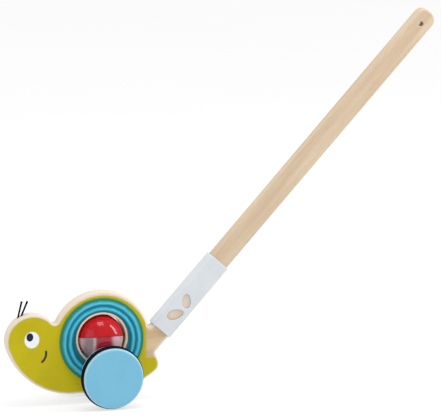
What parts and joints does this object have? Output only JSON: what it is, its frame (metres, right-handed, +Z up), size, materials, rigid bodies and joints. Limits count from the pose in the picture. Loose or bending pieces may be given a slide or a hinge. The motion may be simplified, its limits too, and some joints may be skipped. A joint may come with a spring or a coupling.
{
  "type": "push along toy",
  "caption": "Wooden push-along snail toy: flat board body on two rubber-tyred wheels, a spinning rattle ball in its shell window and a long push stick in a sleeve.",
  "frame": {"origin": "middle of the bounding box at floor level, under the wheels", "axes": "+X from the head towards the stick's end, along the longest side; +Y from the near face to the far face, across the wheels; +Z up"},
  "size_m": [0.5121, 0.0954, 0.44],
  "materials": {
    "painted_board": "olive paint on both faces, bare rounded edges",
    "painted_ring": "teal and light blue gloss paint, bare inner chamfer",
    "painted_wheel": "smooth light blue satin paint",
    "bare_wood": "clear matt lacquer",
    "white_sleeve": "satin white",
    "red_cap": "gloss red",
    "clear_cap": "clear",
    "bead": "gloss",
    "rubber_ring": "matt black",
    "steel": "bright drawn",
    "nylon": "natural",
    "feeler": "matt black"
  },
  "bodies": {
    "snail_body": {"body_board": "painted_board", "shell_ring_near": "painted_ring", "shell_ring_far": "painted_ring", "ball_pin": "steel", "axle_bush_near": "nylon", "axle_bush_far": "nylon", "handle_sleeve": "white_sleeve", "push_stick": "bare_wood", "sleeve_screw_lower": "steel", "sleeve_screw_upper": "steel", "feeler_left": "feeler", "feeler_right": "feeler"},
    "rattle_ball": {"ball_upper_cap": "red_cap", "ball_lower_cap": "clear_cap", "bead_1": "bead", "bead_2": "bead", "bead_3": "bead", "bead_4": "bead", "bead_5": "bead"},
    "wheel_set": {"axle": "steel", "axle_spacer_near": "nylon", "axle_spacer_far": "nylon", "wheel_near": "painted_wheel", "wheel_far": "painted_wheel", "tyre_near": "rubber_ring", "tyre_far": "rubber_ring"}
  },
  "joints": [
    {"name": "wheel_spin", "type": "hinge", "parent": "snail_body", "child": "wheel_set", "pos_m": [-0.139, 0, 0.037], "axis": [0, 1, 0], "continuous": true},
    {"name": "ball_spin", "type": "hinge", "parent": "snail_body", "child": "rattle_ball", "pos_m": [-0.1431, 0, 0.0764], "axis": [1, 0, 0], "continuous": true}
  ]
}
